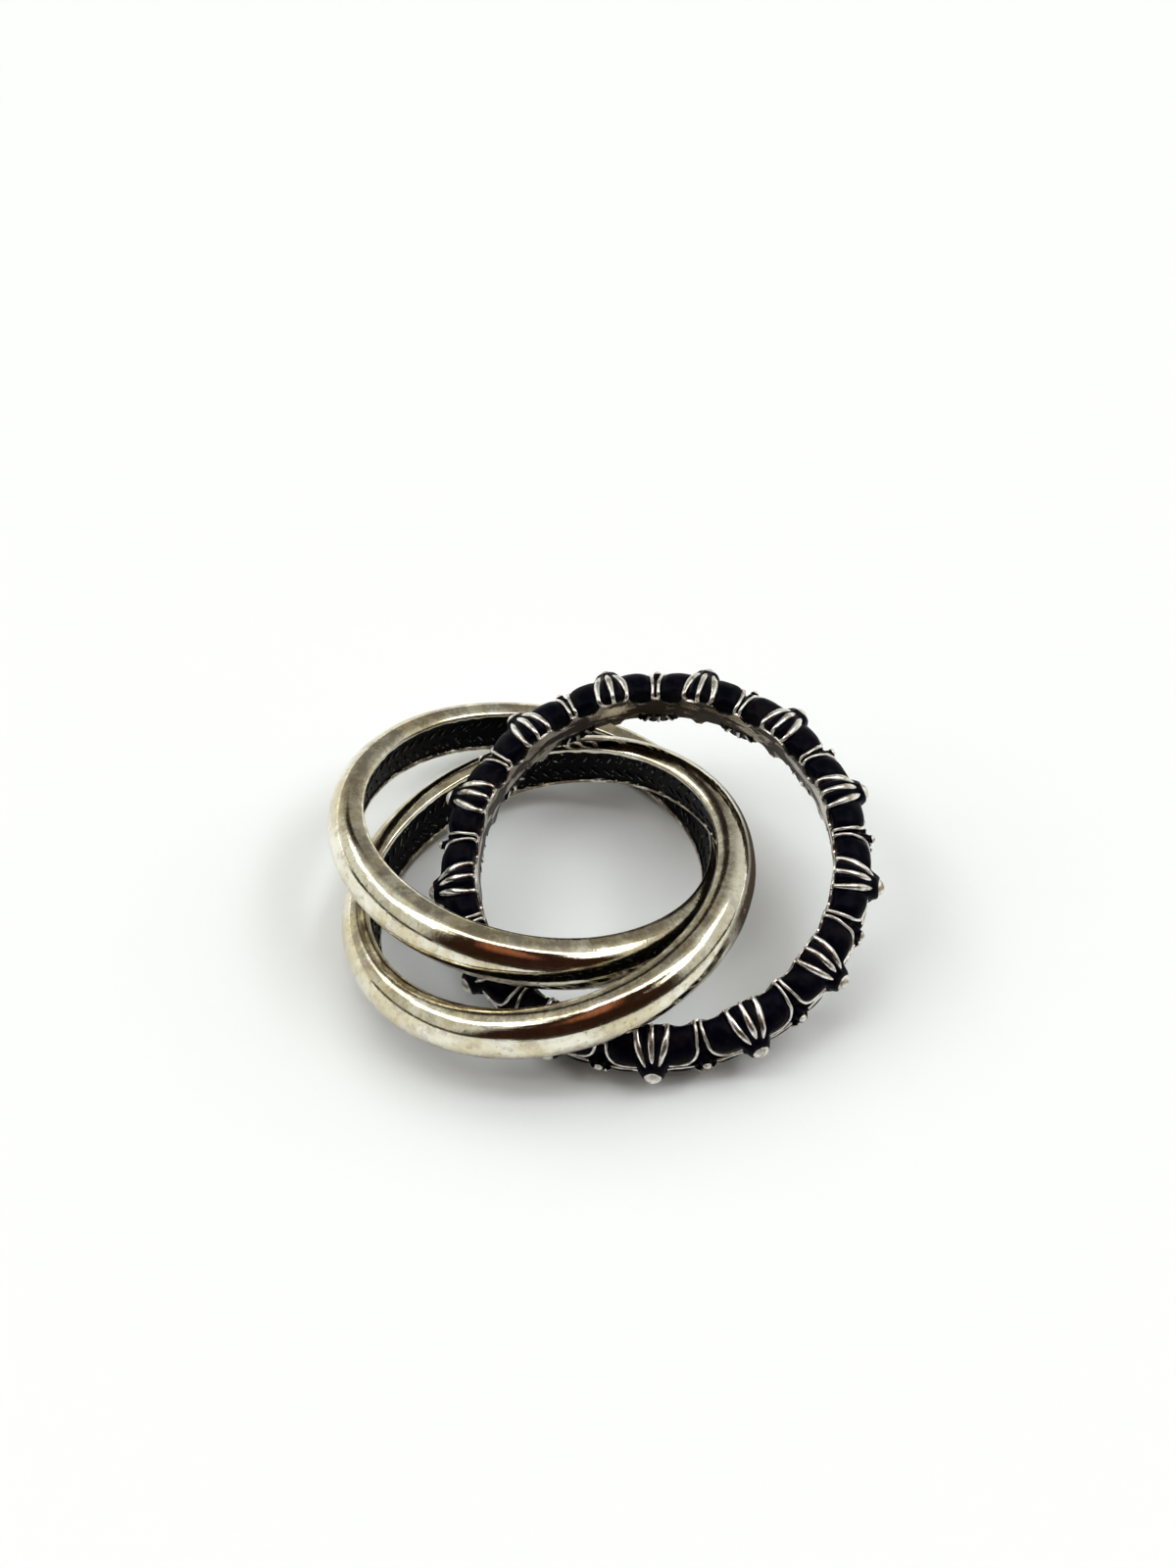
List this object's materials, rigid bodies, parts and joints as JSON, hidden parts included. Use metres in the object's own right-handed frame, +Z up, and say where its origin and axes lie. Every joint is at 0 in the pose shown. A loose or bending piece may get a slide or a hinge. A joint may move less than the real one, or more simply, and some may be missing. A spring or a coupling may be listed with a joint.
{
  "type": "interlocking ring",
  "caption": "Linked finger rings: plain half-round silver bands and a cast ornament band of reeded fans over dark panels, lying flat and leaning on each other.",
  "frame": {"origin": "on the surface the rings lie on, under the middle of their box", "axes": "+X from the plain bands towards the ornament band, +Y away from the viewer, +Z up"},
  "size_m": [0.0298, 0.026, 0.0093],
  "materials": {
    "plain_silver": "polished silver, worn and lightly tarnished, bore blackened",
    "blackened_silver": "cast silver, polished reeds and ribs over blackened ground"
  },
  "bodies": {
    "lower_band": {"lower_plain_band": "plain_silver"},
    "upper_band": {"upper_plain_band": "plain_silver"},
    "ornament": {"ornament_band": "blackened_silver"}
  },
  "joints": [
    {"name": "upper_band_spin", "type": "hinge", "parent": "lower_band", "child": "upper_band", "pos_m": [-0.00371, 0.0018, 0.00385], "axis": [0.1636, 0.1736, 0.9711], "continuous": true},
    {"name": "ornament_spin", "type": "hinge", "parent": "lower_band", "child": "ornament", "pos_m": [0.00278, -0.00088, 0.00466], "axis": [-0.0811, -0.2687, 0.9598], "continuous": true}
  ]
}
